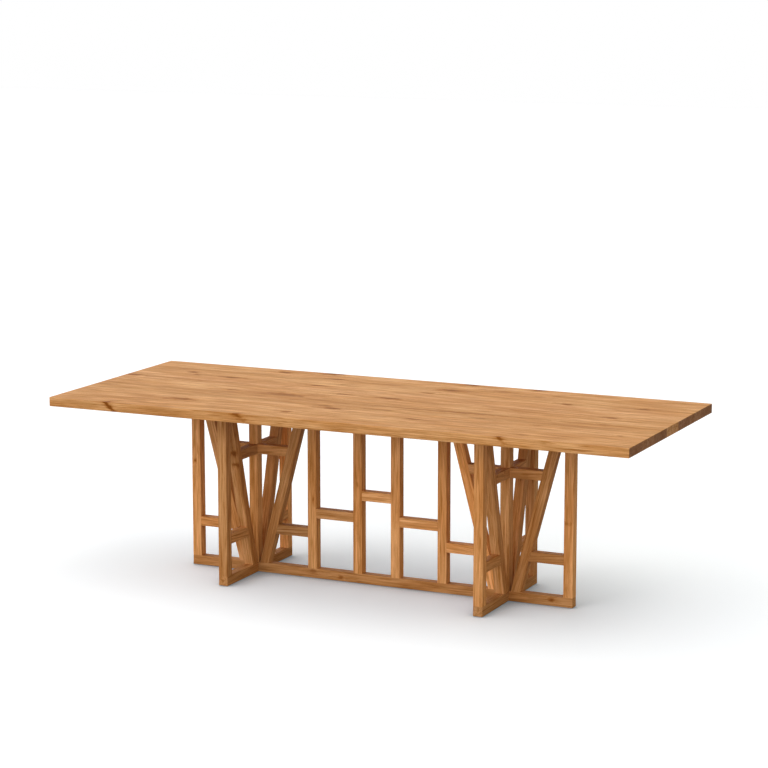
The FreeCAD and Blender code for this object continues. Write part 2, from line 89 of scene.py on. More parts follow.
def new_material(name):
    """A new material with an empty node tree."""
    material = bpy.data.materials.new(name)
    material.use_nodes = True
    material.node_tree.nodes.clear()
    return material, material.node_tree


print("helpers: add_node, new_group, new_material")

# %% Helpers for sums


def calculate(tree, operation, *values):
    """One sum with numbers, such as ADD or MULTIPLY."""
    return add_node(tree, "ShaderNodeMath", dict(enumerate(values)), operation=operation).outputs[0]


def calculate_vector(tree, operation, *values):
    """One sum with places or directions. DOT_PRODUCT and LENGTH give a number."""
    inputs = dict(enumerate(values))
    node = add_node(tree, "ShaderNodeVectorMath", inputs, operation=operation)
    return node.outputs["Value" if operation in ("DOT_PRODUCT", "LENGTH") else "Vector"]


def between(tree, value, low, high, first=0.0, last=1.0):
    """Goes smoothly from first, where value is low, to last, where it is high."""
    inputs = {"Value": value, "From Min": low, "From Max": high, "To Min": first, "To Max": last}
    node = add_node(tree, "ShaderNodeMapRange", inputs, interpolation_type="SMOOTHSTEP")
    return node.outputs["Result"]


print("helpers: calculate, calculate_vector, between")

# %% Helpers for colours and clouds


def linear(red, green, blue):
    """A colour as it is read off a screen, from 0 to 255, in the linear values of a shader."""
    shares = [level / 255 for level in (red, green, blue)]
    return (*[s / 12.92 if s <= 0.04045 else ((s + 0.055) / 1.055) ** 2.4 for s in shares], 1.0)


def mix_colours(tree, share, first, second, blend="MIX"):
    """Mixes two colours. The node has several inputs of one name, so they go by number."""
    inputs = {0: share, 6: first, 7: second}
    return add_node(tree, "ShaderNodeMix", inputs, data_type="RGBA", blend_type=blend).outputs[2]


def noise(tree, place, scale, detail=2.0):
    """Cloudy noise from 0 to 1. scale is how many clouds fit in a metre, in each direction."""
    stretched = calculate_vector(tree, "MULTIPLY", place, scale)
    inputs = {"Vector": stretched, "Scale": 1.0, "Detail": detail}
    return add_node(tree, "ShaderNodeTexNoise", inputs).outputs[0]


print("helpers: linear, mix_colours, noise")

# %% [markdown]
# ## Oak, ring by ring
# A tree grows a ring a year. Oak starts each ring with wide open pores, the dark porous line, and ends
# it with dense pale wood. A pattern painted on each face would break at the edges, so the wood is made
# as a solid instead: its colour depends on the place inside the log. A face then shows cathedral arches
# or straight lines depending on how it was sawn, and an end shows arcs, as on a real bar.

# %% Oak's measures
RING_WIDTH = 0.0050  # one year's growth
RING_WANDER = 0.012  # how far a ring strays from a circle
RING_START = 0.010  # added to every distance from the heart
LOG_TAPER = 0.010  # what a trunk loses of its radius in each metre

# How many clouds of each pattern fit in a metre along the trunk, and across and through it.
WANDER_CLOUDS = (0.9, 7, 7)
BAND_CLOUDS = (2.6, 19, 19)
STREAK_CLOUDS = (8, 120, 120)
SHADE_CLOUDS = (8, 95, 95)
FIBRE_CLOUDS = (6, 300, 300)
PORE_CLOUDS = (90, 1700, 1700)
RAY_CLOUDS = (38, 170, 22)  # along the trunk, round it and outwards

# How many clouds fit in a ring: uneven ring widths, and runs of good and bad years.
WIDTH_CLOUDS = (0.23, 1, 1)
YEAR_CLOUDS = (0.11, 1, 1)
RING_UNEVENNESS = 4.0

# Where in a ring the open pores fade out, and how soon they start.
RING_FADE = (0.55, 0.08)
RING_EDGE = (0.0, 0.06)

# The noise at which each pattern starts to show, and at which it is whole.
BAND_LIMITS = (0.36, 0.64)
STREAK_LIMITS = (0.53, 0.68)
PORE_LIMITS = (0.57, 0.68)
RAY_LIMITS = (0.64, 0.72)

# The surface: how rough fibres are, what a pore adds, and how each stands up or lies low.
FIBRE_ROUGHNESS = (0.56, 0.66)
PORE_ROUGHNESS = 0.18
FIBRE_HEIGHT, PORE_HEIGHT, RING_HEIGHT = 0.35, -0.8, -0.25
print(f"rings {RING_WIDTH * 1000:.1f} mm wide")

# %% Oak's colours
PALE_OAK = linear(210, 159, 106)
MIDDLE_OAK = linear(195, 139, 83)
BROWN_OAK = linear(164, 107, 47)
PORE_BROWN = linear(136, 80, 30)
KNOT_BROWN = linear(156, 92, 24)
KNOT_DARK = linear(114, 60, 8)
END_SHADE = linear(172, 165, 181)

# How much of its own colour each mark brings.
RING_SHARE, STREAK_SHARE, RAY_SHARE, PORE_SHARE = 0.48, 0.68, 0.30, 0.50

# The darkest and lightest that fibres and clouds make the wood.
FIBRE_LIGHT = (0.80, 1.19)
SHADE_LIGHT = (0.83, 1.17)

# Dense wood is darker and warmer too: of its light, blue goes first and red last.
LIGHT_SLOPE = (0.75, 1.0, 1.45)
LIGHT_START = (0.25, 0.0, -0.45)
print("oak from pale", [round(v, 2) for v in PALE_OAK], "to brown", [round(v, 2) for v in BROWN_OAK])

# %% The rings


def add_rings(tree, place, along, bulge):
    """The distance from the heart, how open the pores are there, and how dark the ring is."""
    # The distance wanders along the log and bulges round knots.
    crosswise = calculate_vector(tree, "MULTIPLY", place, (0, 1, 1))
    heart_distance = calculate_vector(tree, "LENGTH", crosswise)
    strays = noise(tree, place, WANDER_CLOUDS, 3.0)
    wander = calculate(tree, "MULTIPLY_ADD", strays, RING_WANDER, RING_START)
    radius = calculate(tree, "ADD", calculate(tree, "ADD", heart_distance, wander), bulge)
    radius = calculate(tree, "MULTIPLY_ADD", along, LOG_TAPER, radius)

    # Rings of uneven width. A ring's pores start sharply and fade into the dense wood.
    even_rings = calculate(tree, "DIVIDE", radius, RING_WIDTH)
    by_age = add_node(tree, "ShaderNodeCombineXYZ", {"X": even_rings}).outputs[0]
    uneven = noise(tree, by_age, WIDTH_CLOUDS)
    ring_number = calculate(tree, "MULTIPLY_ADD", uneven, RING_UNEVENNESS, even_rings)
    within_ring = calculate(tree, "FRACT", ring_number)
    fade = between(tree, within_ring, *RING_FADE)
    start = between(tree, within_ring, *RING_EDGE)
    porous = calculate(tree, "MULTIPLY", fade, start)
    good_years = between(tree, noise(tree, by_age, YEAR_CLOUDS), 0.35, 0.65, 0.25, 1.0)
    return radius, porous, calculate(tree, "MULTIPLY", porous, good_years)


print("helper: add_rings")

# %% Bands, streaks, fibres, pores and rays


def add_grain(tree, place, apart, radius, porous):
    """The noise of clouds and fibres, and the marks of bands, streaks, pores and rays."""
    # All but the rays are stretched along the trunk.
    bands = between(tree, noise(tree, place, BAND_CLOUDS), *BAND_LIMITS)
    streaks = between(tree, noise(tree, place, STREAK_CLOUDS, 3.0), *STREAK_LIMITS)
    clouds = noise(tree, place, SHADE_CLOUDS, 3.0)
    fibres = noise(tree, place, FIBRE_CLOUDS, 3.0)
    pores = between(tree, noise(tree, place, PORE_CLOUDS, 1.0), *PORE_LIMITS)
    pores = calculate(tree, "MULTIPLY", pores, calculate(tree, "MULTIPLY_ADD", porous, 0.8, 0.2))

    # Rays run from the heart outwards, as thin sheets, and show as pale flecks.
    turn = calculate(tree, "ARCTAN2", apart["Z"], apart["Y"])
    sheet = {"X": apart["X"], "Y": turn, "Z": radius}
    sheet = add_node(tree, "ShaderNodeCombineXYZ", sheet).outputs[0]
    rays = between(tree, noise(tree, sheet, RAY_CLOUDS, 1.0), *RAY_LIMITS)
    return {
        "bands": bands,
        "streaks": streaks,
        "clouds": clouds,
        "fibres": fibres,
        "pores": pores,
        "rays": rays,
    }


print("helper: add_grain")

# %% The colour of the wood


def add_colour(tree, given, ring_mark, grain):
    """The colour that the marks make together. given holds what one piece asks for."""
    # Each mark is laid over the ones before it, and a knot over them all.
    colour = mix_colours(tree, grain["bands"], PALE_OAK, MIDDLE_OAK)
    layers = (
        (ring_mark, RING_SHARE, BROWN_OAK),
        (grain["streaks"], STREAK_SHARE, BROWN_OAK),
        (grain["rays"], RAY_SHARE, PALE_OAK),
        (grain["pores"], PORE_SHARE, PORE_BROWN),
    )
    for mark, share, own_colour in layers:
        colour = mix_colours(tree, calculate(tree, "MULTIPLY", mark, share), colour, own_colour)
    colour = mix_colours(tree, given["Stain"], colour, KNOT_BROWN)
    cracked = between(tree, grain["fibres"], 0.35, 0.65, 0.55, 1.0)
    dark = calculate(tree, "MULTIPLY", given["Knot"], cracked)
    colour = mix_colours(tree, dark, colour, KNOT_DARK)
    colour = mix_colours(tree, given["End"], colour, END_SHADE, "MULTIPLY")

    fibre_light = between(tree, grain["fibres"], 0.32, 0.68, *FIBRE_LIGHT)
    shade_light = between(tree, grain["clouds"], 0.3, 0.7, *SHADE_LIGHT)
    light = calculate(tree, "MULTIPLY", fibre_light, shade_light)
    light = calculate_vector(tree, "MULTIPLY_ADD", light, LIGHT_SLOPE, LIGHT_START)
    colour = calculate_vector(tree, "MULTIPLY", colour, light)
    return calculate_vector(tree, "MULTIPLY", colour, given["Tint"])


print("helper: add_colour")

# %% The oak's figure


def make_oak_figure():
    """A group that gives oak's colour, roughness and relief at a place in the log."""
    inputs = {
        "Place": "Vector",
        "Bulge": "Float",
        "Knot": "Float",
        "Stain": "Float",
        "End": "Float",
        "Tint": "Color",
    }
    outputs = {"Colour": "Color", "Roughness": "Float", "Relief": "Float"}
    tree, given = new_group("Oak figure", inputs, outputs)
    place = given["Place"]
    apart = add_node(tree, "ShaderNodeSeparateXYZ", {"Vector": place}).outputs
    radius, porous, ring_mark = add_rings(tree, place, apart["X"], given["Bulge"])
    grain = add_grain(tree, place, apart, radius, porous)
    colour = add_colour(tree, given, ring_mark, grain)

    # Pores are rougher and lie lower than the fibres between them.
    roughness = between(tree, grain["fibres"], 0.2, 0.8, *FIBRE_ROUGHNESS)
    roughness = calculate(tree, "MULTIPLY_ADD", grain["pores"], PORE_ROUGHNESS, roughness)
    relief = calculate(tree, "MULTIPLY", porous, RING_HEIGHT)
    relief = calculate(tree, "MULTIPLY_ADD", grain["pores"], PORE_HEIGHT, relief)
    relief = calculate(tree, "MULTIPLY_ADD", grain["fibres"], FIBRE_HEIGHT, relief)
    given_back = {"Colour": colour, "Roughness": roughness, "Relief": relief}
    add_node(tree, "NodeGroupOutput", given_back)
    return tree


oak_figure = make_oak_figure()
print(f"{oak_figure.name}: {len(oak_figure.nodes)} nodes")

# %% [markdown]
# ## Knots
# A knot is where a branch left the trunk. The rings swell round it, so they close into eyes on the sawn
# face, the wood inside is dark and hard, and a brown stain runs out along the grain. A dark spot could
# be painted where the knot shows, but it would stop at the edge of the face. A branch grows outwards
# from the heart and gets thicker on its way, so a knot is made as a cone through the wood.

# %% A knot


def make_knot():
    """A group that gives what one knot does to the rings and colours near it."""
    inputs = {
        "Place": "Vector",
        "Waver": "Float",
        "Ragged": "Float",
        "Middle": "Vector",
        "Lean": "Float",
        "Length": "Float",
        "Width": "Float",
        "Dark": "Float",
    }
    outputs = {"Bulge": "Float", "Knot": "Float", "Stain": "Float"}
    tree, given = new_group("Knot", inputs, outputs)

    # The branch's own directions: outwards from the heart, and sideways to it.
    crosswise = calculate_vector(tree, "MULTIPLY", given["Middle"], (0, 1, 1))
    outwards = calculate_vector(tree, "NORMALIZE", crosswise)
    sideways = calculate_vector(tree, "CROSS_PRODUCT", outwards, (1, 0, 0))
    off = calculate_vector(tree, "SUBTRACT", given["Place"], given["Middle"])
    deep = calculate_vector(tree, "DOT_PRODUCT", off, outwards)
    along = calculate_vector(tree, "DOT_PRODUCT", off, (1, 0, 0))
    along = calculate(tree, "SUBTRACT", along, calculate(tree, "MULTIPLY", deep, given["Lean"]))
    across = calculate_vector(tree, "DOT_PRODUCT", off, sideways)
    across = calculate(tree, "ADD", across, given["Waver"])

    # How thick the branch has grown here, where 1 is its thickness at the knot's middle.
    here = calculate_vector(tree, "DOT_PRODUCT", given["Place"], outwards)
    at_middle = calculate_vector(tree, "DOT_PRODUCT", given["Middle"], outwards)
    grown = calculate(tree, "MAXIMUM", calculate(tree, "DIVIDE", here, at_middle), 0.2)

    def reach(lengthen, widen):
        """How far out a place is, where 1 is the edge of an oval of that many lengths and widths."""
        half_length = calculate(tree, "MULTIPLY", given["Length"], lengthen)
        half_width = calculate(tree, "MULTIPLY", given["Width"], widen)
        sides = {
            "X": calculate(tree, "DIVIDE", along, half_length),
            "Y": calculate(tree, "DIVIDE", across, half_width),
        }
        sides = add_node(tree, "ShaderNodeCombineXYZ", sides).outputs[0]
        oval = calculate(tree, "MULTIPLY", calculate_vector(tree, "LENGTH", sides), given["Ragged"])
        return calculate(tree, "DIVIDE", oval, grown)

    swell = between(tree, reach(lengthen=2.6, widen=3.0), 1.0, 0.1)
    bulge = calculate(tree, "MULTIPLY", swell, calculate(tree, "MULTIPLY", given["Width"], 0.8))
    core = between(tree, reach(lengthen=0.85, widen=0.95), 1.1, 0.5)
    core = calculate(tree, "MULTIPLY", core, given["Dark"])
    halo = between(tree, reach(lengthen=1.5, widen=1.5), 1.3, 0.3)
    tails = between(tree, reach(lengthen=3.2, widen=0.9), 1.0, 0.0, 0.0, 0.8)
    stain = calculate(tree, "MULTIPLY", calculate(tree, "MAXIMUM", halo, tails), given["Dark"])
    add_node(tree, "NodeGroupOutput", {"Bulge": bulge, "Knot": core, "Stain": stain})
    return tree


knot_group = make_knot()
print(f"{knot_group.name}: {len(knot_group.nodes)} nodes")

# %% [markdown]
# ## Where each piece was sawn from the log
# No two pieces of a table come from the same place in a tree, and the grain of each one runs along its
# length. One log for the whole table would be simpler, but then the grain would cross every upright. So
# each piece's direction is measured on its mesh, from the middle of one end to the middle of the other,
# which also finds the lean of the braces. A steady random draw then puts the piece somewhere in the log.

# %% The grain's directions in a piece
END_SLICE = 0.0005  # how near to its end a point of the mesh counts as being on it


def grain_axes(name):
    """The directions along, across and through the piece, and its middle."""
    low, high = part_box(name)
    size = high - low
    longest = max(range(3), key=lambda axis: size[axis])
    places = [vertex.co for vertex in pieces[name].data.vertices]
    ends = []
    for level in (low[longest], high[longest]):
        near = [place for place in places if abs(place[longest] - level) < END_SLICE]
        ends.append(sum(near, Vector()) / len(near))
    along = (ends[1] - ends[0]).normalized()
    through = Vector((0, 1, 0)) if longest == 2 else Vector((0, 0, 1))
    across = through.cross(along).normalized()
    return along, across, along.cross(across), (low + high) / 2


for sample in ("top_board_1", "left_inner_brace"):
    print(f"the grain of {sample} runs along", [round(v, 2) for v in grain_axes(sample)[0]])

# %% A place in the log
NEAREST_HEART, FARTHEST_HEART = 0.070, 0.170
LOG_REACH = 20
draw = random.Random(41)


def heart_behind(name, spot):
    """The turn that puts the heart behind the face on which a spot lies."""
    along, across, through, middle = grain_axes(name)
    off = Vector(spot) - middle
    sideways, deep = off.dot(across), off.dot(through)
    return math.atan2(0, sideways) if abs(sideways) > abs(deep) else math.atan2(deep, 0)


def sawn_place(heart_turn=None):
    """A random place in the log: how far along it, and the heart's distance and direction."""
    turn = draw.uniform(0, 2 * math.pi) if heart_turn is None else heart_turn
    distance = draw.uniform(NEAREST_HEART, FARTHEST_HEART)
    along = draw.uniform(-LOG_REACH, LOG_REACH)
    return Vector((along, distance * math.cos(turn), distance * math.sin(turn)))


print(f"pieces come from {NEAREST_HEART * 1000:.0f} to {FARTHEST_HEART * 1000:.0f} mm off the heart")

# %% [markdown]
# ## Oak for one piece
# The wood looks oiled and almost matt: light sinks in and only a faint sheen comes back.
# A single oak material could serve all pieces, but each has its own place in the log, its own tone and
# its own knots. So every piece gets a material of its own around the one shared figure. A mapping node
# turns the piece's own coordinates into the log's, and the face that lies across the grain counts as
# an end, which drinks more oil and is darker.

# %% Knots and streaks in a piece
KNOT_WAVER = 0.010
KNOT_RAGGED = (0.6, 1.5)
WAVER_CLOUDS = (14, 60, 60)
RAGGED_CLOUDS = (26, 150, 150)


def add_marks(tree, place, marks):
    """Adds knots and streaks, and joins what all of them do to the wood, socket by socket."""
    joined = {}
    if not marks:
        return joined
    waver = calculate(tree, "SUBTRACT", noise(tree, place, WAVER_CLOUDS), 0.5)
    waver = calculate(tree, "MULTIPLY", waver, KNOT_WAVER)
    ragged = between(tree, noise(tree, place, RAGGED_CLOUDS, 3.0), 0.3, 0.7, *KNOT_RAGGED)
    for middle, length, width, dark, lean, gives in marks:
        inputs = {
            "Place": place,
            "Waver": waver,
            "Ragged": ragged,
            "Middle": middle,
            "Lean": lean,
            "Length": length,
            "Width": width,
            "Dark": dark,
        }
        knot = add_node(tree, "ShaderNodeGroup", inputs, node_tree=knot_group)
        for socket in gives:
            join = "ADD" if socket == "Bulge" else "MAXIMUM"
            joined[socket] = calculate(tree, join, joined.get(socket, 0.0), knot.outputs[socket])
    return joined


print("helper: add_marks")

# %% An oak material for one piece
BUMP_HEIGHT, BUMP_STRENGTH = 0.00035, 0.6
OILED_GLOSS = 0.06
END_STARTS, END_WHOLE = 0.55, 0.90  # how squarely a face lies across the grain to count as an end


def make_oak(name, sawn, tint, end=1.0, knots=(), streaks=()):
    """Oak for one piece. A knot is its spot, half length, half width, darkness and lean."""
    material, tree = new_material("Oak of " + name)
    along, across, through, middle = grain_axes(name)
    turn = Matrix((along, across, through))
    coordinates = add_node(tree, "ShaderNodeTexCoord").outputs
    mapping = {
        "Vector": coordinates["Object"],
        "Location": sawn - turn @ middle,
        "Rotation": turn.to_euler(),
    }
    place = add_node(tree, "ShaderNodeMapping", mapping).outputs[0]

    squareness = calculate_vector(tree, "DOT_PRODUCT", coordinates["Normal"], along)
    squareness = calculate(tree, "ABSOLUTE", squareness)
    end_share = between(tree, squareness, END_STARTS, END_WHOLE, 0.0, end)
    marks = [(*knot, ("Bulge", "Knot", "Stain")) for knot in knots]
    marks += [(*streak, 0.0, ("Stain",)) for streak in streaks]
    marks = [(sawn + turn @ (Vector(spot) - middle), *measures) for spot, *measures in marks]
    inputs = {"Place": place, "Tint": tint, "End": end_share, **add_marks(tree, place, marks)}
    figure = add_node(tree, "ShaderNodeGroup", inputs, node_tree=oak_figure).outputs

    bump = {"Height": figure["Relief"], "Distance": BUMP_HEIGHT, "Strength": BUMP_STRENGTH}
    surface = {
        "Base Color": figure["Colour"],
        "Roughness": figure["Roughness"],
        "Normal": add_node(tree, "ShaderNodeBump", bump).outputs[0],
        "Specular IOR Level": OILED_GLOSS,
    }
    shader = add_node(tree, "ShaderNodeBsdfPrincipled", surface)
    add_node(tree, "ShaderNodeOutputMaterial", {"Surface": shader.outputs[0]})
    return material


def finish_piece(name, material):
    """Gives a piece its material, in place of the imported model's plain one."""
    mesh = pieces[name].data
    mesh.materials.clear()
    mesh.materials.append(material)


print("helpers: make_oak, finish_piece")

# %% [markdown]
# ## The top
# Seven boards are glued edge to edge. They are flat-sawn, so the heart lies below each board and its
# rings show as long arches. The knots could be scattered by chance, but the eye knows a top by them, so
# they are listed one by one, where the photographed top has them. Three of them come out at the front
# edge and lean with their branches. A streak is a long stain without a knot.

# %% Tones of the boards
BOARDS = sorted(name for name in pieces if name.startswith("top_board_"))
BOARD_TINTS = (
    # red, green and blue, from the front board to the back one
    (0.97, 0.94, 0.88),
    (1.01, 1.01, 1.01),
    (0.94, 0.93, 0.87),
    (1.02, 1.03, 1.04),
    (1.01, 1.01, 1.04),
    (0.99, 0.99, 0.96),
    (1.01, 1.01, 0.99),
)
# How dark each board's end grain is. The middle board's is paler than the rest.
BOARD_ENDS = (1.0, 0.9, 1.0, 0.45, 1.0, 0.9, 1.0)
print(len(BOARDS), "boards")

# %% Knots of the top
TOP_KNOTS = [
    # along the table, across it, half length, half width, darkness, lean
    (-0.986, -0.498, 0.015, 0.030, 0.9, -1.3),
    (-0.389, -0.499, 0.020, 0.014, 0.8, -1.3),
    (0.730, -0.499, 0.014, 0.012, 0.8, -1.0),
    (-0.226, -0.380, 0.028, 0.018, 0.55, 0.0),
    (-0.738, -0.306, 0.062, 0.020, 0.65, 0.0),
    (0.294, -0.313, 0.034, 0.009, 0.7, 0.0),
    (1.142, -0.292, 0.014, 0.008, 0.5, 0.0),
    (-0.138, -0.208, 0.036, 0.016, 0.5, 0.0),
    (-0.090, -0.238, 0.048, 0.014, 0.9, 0.0),
    (0.110, -0.188, 0.050, 0.008, 0.5, 0.0),
    (0.400, -0.112, 0.160, 0.006, 0.6, 0.0),
    (-0.402, -0.052, 0.110, 0.040, 0.60, 0.0),
    (0.022, 0.058, 0.060, 0.012, 0.9, 0.0),
    (-0.186, 0.066, 0.034, 0.011, 0.9, 0.0),
    (0.985, 0.036, 0.036, 0.013, 0.7, 0.0),
    (-1.215, 0.117, 0.060, 0.014, 0.8, 0.0),
    (-0.378, 0.210, 0.044, 0.015, 1.0, 0.0),
    (-0.802, 0.227, 0.056, 0.012, 1.0, 0.0),
    (0.721, 0.236, 0.036, 0.012, 0.9, 0.0),
    (1.035, 0.260, 0.050, 0.010, 0.8, 0.0),
    (-1.010, 0.276, 0.022, 0.014, 0.8, 0.0),
    (0.182, 0.330, 0.050, 0.016, 0.8, 0.0),
    (-0.373, 0.374, 0.055, 0.012, 0.7, 0.0),
    (0.382, 0.390, 0.060, 0.024, 0.3, 0.0),
    (-0.650, 0.436, 0.036, 0.017, 0.8, 0.0),
    (-0.965, 0.216, 0.022, 0.014, 0.7, 0.0),
    (-0.290, 0.268, 0.024, 0.008, 0.4, 0.0),
    (0.110, 0.236, 0.030, 0.010, 0.8, 0.0),
    (0.560, 0.345, 0.030, 0.007, 0.3, 0.0),
    (0.620, 0.385, 0.034, 0.007, 0.4, 0.0),
    (-0.650, -0.036, 0.030, 0.010, 0.7, 0.0),
    (0.520, -0.190, 0.044, 0.006, 0.5, 0.0),
    (0.780, -0.228, 0.036, 0.007, 0.3, 0.0),
    (1.010, -0.108, 0.030, 0.008, 0.3, 0.0),
    (0.800, -0.428, 0.026, 0.010, 0.4, 0.0),
    (-0.440, 0.488, 0.050, 0.020, 1.0, 0.0),
    (0.206, 0.488, 0.038, 0.022, 1.0, 0.0),
    (0.510, 0.484, 0.034, 0.018, 0.9, 0.0),
]
print(len(TOP_KNOTS), "knots in the top")

# %% Streaks of the top
TOP_STREAKS = [
    # along the table, across it, half length, half width, darkness
    (-0.85, 0.350, 0.28, 0.016, 0.45),
    (-0.16, 0.345, 0.12, 0.012, 0.40),
    (1.02, 0.365, 0.24, 0.022, 0.35),
    (1.10, 0.262, 0.14, 0.012, 0.35),
    (-0.80, 0.218, 0.24, 0.014, 0.25),
    (-0.93, 0.112, 0.30, 0.008, 0.65),
    (0.26, 0.040, 0.24, 0.018, 0.30),
    (0.60, 0.028, 0.18, 0.030, 0.40),
    (-0.86, -0.085, 0.34, 0.034, 0.30),
    (-0.12, -0.110, 0.16, 0.030, 0.35),
    (0.34, -0.110, 0.36, 0.013, 0.65),
    (0.96, -0.118, 0.16, 0.010, 0.35),
    (-0.55, -0.185, 0.30, 0.016, 0.25),
    (0.95, -0.190, 0.20, 0.020, 0.25),
    (-0.86, -0.290, 0.16, 0.010, 0.30),
    (0.40, -0.290, 0.18, 0.020, 0.25),
]
print(len(TOP_STREAKS), "streaks in the top")

# %% Boards of the top
LEAST_HEART_TURN, MOST_HEART_TURN = 0.30, 0.70  # in half turns, where 0.5 is straight below


def on_board(marks, low, high):
    """Those of the top's knots or streaks that lie on one board."""
    return [((x, y, TABLE_HEIGHT), *measures) for x, y, *measures in marks if low.y <= y < high.y]


for board, tint, end in zip(BOARDS, BOARD_TINTS, BOARD_ENDS):
    own_knots = on_board(TOP_KNOTS, *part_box(board))
    own_streaks = on_board(TOP_STREAKS, *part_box(board))
    sawn = sawn_place(heart_turn=draw.uniform(LEAST_HEART_TURN, MOST_HEART_TURN) * math.pi)
    oak = make_oak(board, sawn, (*tint, 1.0), end, knots=own_knots, streaks=own_streaks)
    finish_piece(board, oak)
    print(f"{board}: {len(own_knots)} knots, {len(own_streaks)} streaks")

# %% [markdown]
# ## The base
# The bars are sawn from the same oak and look a little browner than the top: that tint is partly their
# own colour and partly painted light and shade. Each one has a place of its own in the log and its own
# tone. Chance alone could give the tones. Most bars have theirs from the photograph instead, and such a
# tone holds painted light and shade as well as the bar's own tone. Chance gives the rest.

# %% Tones of the bars
# The bars' browner tint: partly their own colour, partly painted light and shade.
BAR_TINT_AND_PAINTED_LIGHT = Vector((1.09, 0.99, 0.88))
BAR_TONE_SPREAD = 0.06
# Each listed tone is the bar's own tone with painted light and shade mixed in.
BAR_TONES_AND_PAINTED_LIGHT = {
    # how light each bar is against its neighbours in the photograph, from the darkest on
    0.62: ("left_inner_low_rung",),
    0.70: ("right_cross_bottom_rail",),
    0.75: ("left_front_high_rung", "left_inner_brace"),
    0.79: (
        "left_front_upright",
        "left_cross_bottom_rail",
        "right_outer_low_rung",
        "spine_bottom_rail",
    ),
    0.84: (
        "left_bay_rung",
        "left_front_brace",
        "right_front_brace",
        "right_front_low_rung",
        "right_outer_brace",
    ),
    0.86: ("right_back_upright", "right_front_high_rung"),
    0.91: (
        "left_outer_brace",
        "left_back_brace",
        "left_front_low_rung",
        "right_back_brace",
        "right_centre_post",
    ),
    0.98: ("left_centre_post", "left_inner_high_rung", "left_inner_upright"),
    1.02: ("right_front_upright", "right_outer_high_rung"),
    1.06: (
        "left_bay_upright",
        "left_outer_low_rung",
        "right_inner_upright",
        "right_outer_upright",
    ),
    1.10: ("left_outer_upright", "middle_bay_rung", "right_bay_rung", "right_bay_upright"),
    1.20: ("right_inner_low_rung",),
    1.36: ("right_inner_brace", "left_back_upright"),
}
print(sum(len(bars) for bars in BAR_TONES_AND_PAINTED_LIGHT.values()), "bars have their tones from the photograph")

# %% Knots of the bars
BAR_KNOTS = [
    # bar, spot on one of its faces, half length, half width, darkness, lean
    ("left_outer_upright", (-0.842, -0.020, 0.451), 0.009, 0.006, 0.8, 0.0),
    ("left_front_brace", (-0.545, -0.214, 0.618), 0.012, 0.004, 0.5, 0.0),
    ("left_front_brace", (-0.545, -0.206, 0.538), 0.014, 0.006, 0.7, 0.0),
    ("left_front_brace", (-0.545, -0.190, 0.489), 0.010, 0.006, 0.6, 0.0),
    ("left_inner_upright", (-0.286, -0.020, 0.335), 0.013, 0.005, 0.5, 0.0),
    ("left_bay_upright", (-0.085, -0.020, 0.415), 0.018, 0.005, 0.4, 0.0),
    ("spine_bottom_rail", (-0.290, -0.020, 0.030), 0.026, 0.009, 0.45, 0.0),
    ("spine_bottom_rail", (-0.162, -0.020, 0.018), 0.014, 0.008, 0.6, 0.0),
    ("spine_bottom_rail", (0.769, -0.020, 0.026), 0.012, 0.007, 0.7, 0.0),
    ("right_front_high_rung", (0.585, -0.150, 0.538), 0.006, 0.004, 0.5, 0.0),
    ("right_front_high_rung", (0.585, -0.071, 0.538), 0.005, 0.004, 0.5, 0.0),
    ("right_outer_upright", (0.830, -0.020, 0.342), 0.006, 0.010, 0.35, 0.0),
]
print(len(BAR_KNOTS), "knots in the bars")

# %% Bars of the base
parts = frame["record"]["subparts"]
oak_bars = sorted(part["node"] for part in parts if part["material_slot"] == "oak_frame")
for bar in oak_bars:
    tone = draw.uniform(1 - BAR_TONE_SPREAD, 1 + BAR_TONE_SPREAD)
    tone = next((level for level, bars in BAR_TONES_AND_PAINTED_LIGHT.items() if bar in bars), tone)
    own_knots = [measures for place_on, *measures in BAR_KNOTS if place_on == bar]
    sawn = sawn_place(heart_behind(bar, own_knots[0][0]) if own_knots else None)
    finish_piece(bar, make_oak(bar, sawn, (*(BAR_TINT_AND_PAINTED_LIGHT * tone), 1.0), 0.0, own_knots))
print(f"{len(oak_bars)} bars of oak")

# %% [markdown]
# ## Steel and felt
# The screws and washers under the top are zinc-plated steel, which is bright with a faint cloudy bloom.
# The pads under the rails are pressed felt: no shine, and short hairs that break the light. Hairs could
# be grown one by one, but the pads are two millimetres thick and hardly seen, so a rough surface with a
# fine bump and a little sheen does as well. Both finishes follow noise in the pieces' own coordinates.

# %% Zinc-plated steel
ZINC_DULL, ZINC_BRIGHT = linear(196, 198, 196), linear(226, 226, 220)
CRYSTAL_CLOUDS = (420, 420, 420)


def make_zinc():
    """Zinc plating: clouds of lighter and darker crystals."""
    material, tree = new_material("Zinc-plated steel")
    place = add_node(tree, "ShaderNodeTexCoord").outputs["Object"]
    clouds = noise(tree, place, CRYSTAL_CLOUDS, 4.0)
    surface = {
        "Base Color": mix_colours(tree, clouds, ZINC_DULL, ZINC_BRIGHT),
        "Roughness": between(tree, clouds, 0.3, 0.7, 0.28, 0.42),
        "Metallic": 1.0,
    }
    shader = add_node(tree, "ShaderNodeBsdfPrincipled", surface)
    add_node(tree, "ShaderNodeOutputMaterial", {"Surface": shader.outputs[0]})
    return material


zinc = make_zinc()
finish_piece("top_screws", zinc)
finish_piece("top_screw_washers", zinc)
print("screws and washers:", zinc.name)

# %% Pressed felt
FELT_DARK, FELT_PALE = linear(58, 48, 40), linear(104, 92, 80)
HAIR_CLOUDS = (2600, 900, 2600)
HAIR_HEIGHT = 0.0004


